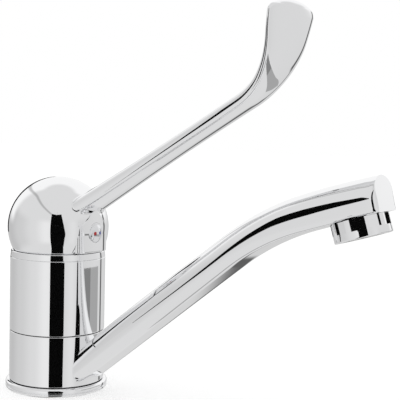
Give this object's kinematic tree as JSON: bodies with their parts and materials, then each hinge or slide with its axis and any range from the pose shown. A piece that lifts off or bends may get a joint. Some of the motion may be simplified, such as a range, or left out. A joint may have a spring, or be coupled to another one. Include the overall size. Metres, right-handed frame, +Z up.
{
  "type": "elbow lever tap",
  "caption": "Deck-mounted mixer tap with a ball-domed column, a bent swivel spout with aerator and a long elbow lever that lifts for flow and turns for temperature.",
  "frame": {"origin": "centre of the base on the deck plane, on the column's axis", "axes": "+X along the spout and the lever in their middle position, +Z up, +Y the cold side"},
  "size_m": [0.2069, 0.0516, 0.2406],
  "materials": {
    "chrome": "polished",
    "brass": "machined",
    "steel": "plain",
    "rubber": "matt",
    "white_plastic": "matt",
    "dark_plastic": "matt",
    "grey_plastic": "matt",
    "ceramic": "lapped",
    "plated_plastic": "polished",
    "red": "gloss",
    "blue": "gloss"
  },
  "bodies": {
    "column": {"body_casting": "chrome", "base_flange": "chrome", "base_seal": "rubber", "spout_orings": "rubber", "upper_glide_ring": "white_plastic", "lower_glide_ring": "white_plastic", "cartridge_base": "grey_plastic", "cartridge_seals": "rubber", "fixed_disc": "ceramic", "cartridge_housing": "white_plastic", "cartridge_nut": "brass", "cover_ring": "chrome", "fixing_stud": "brass", "rubber_washer": "rubber", "steel_washer": "steel", "fixing_nut": "brass"},
    "guide": {"stem_guide": "dark_plastic", "pivot_pin": "steel"},
    "lever": {"stem": "brass", "elbow_handle": "chrome", "set_screw": "steel", "index_button": "plated_plastic", "hot_dot": "red", "cold_dot": "blue"},
    "disc_carriage": {"disc_carrier": "grey_plastic", "moving_disc": "ceramic"},
    "spout": {"swivel_spout": "chrome", "aerator_housing": "chrome", "aerator_washer": "rubber", "aerator_insert": "white_plastic", "aerator_screen": "steel"}
  },
  "joints": [
    {"name": "spout_swivel", "type": "hinge", "parent": "column", "child": "spout", "pos_m": [0, 0, 0.017], "axis": [0, 0, 1], "continuous": true},
    {"name": "temperature", "type": "hinge", "parent": "column", "child": "guide", "pos_m": [0, 0, 0.054], "axis": [0, 0, 1], "range_deg": [-45, 45]},
    {"name": "lever_lift", "type": "hinge", "parent": "guide", "child": "lever", "pos_m": [0, 0, 0.082], "axis": [0, -1, 0], "range_deg": [0, 20]},
    {"name": "disc_slide", "type": "slide", "parent": "guide", "child": "disc_carriage", "axis": [1, 0, 0], "range_m": [0, 0.00766]}
  ],
  "couplings": [
    {"joint": "disc_slide", "follows": "lever_lift", "m_per_rad": 0.021888}
  ]
}
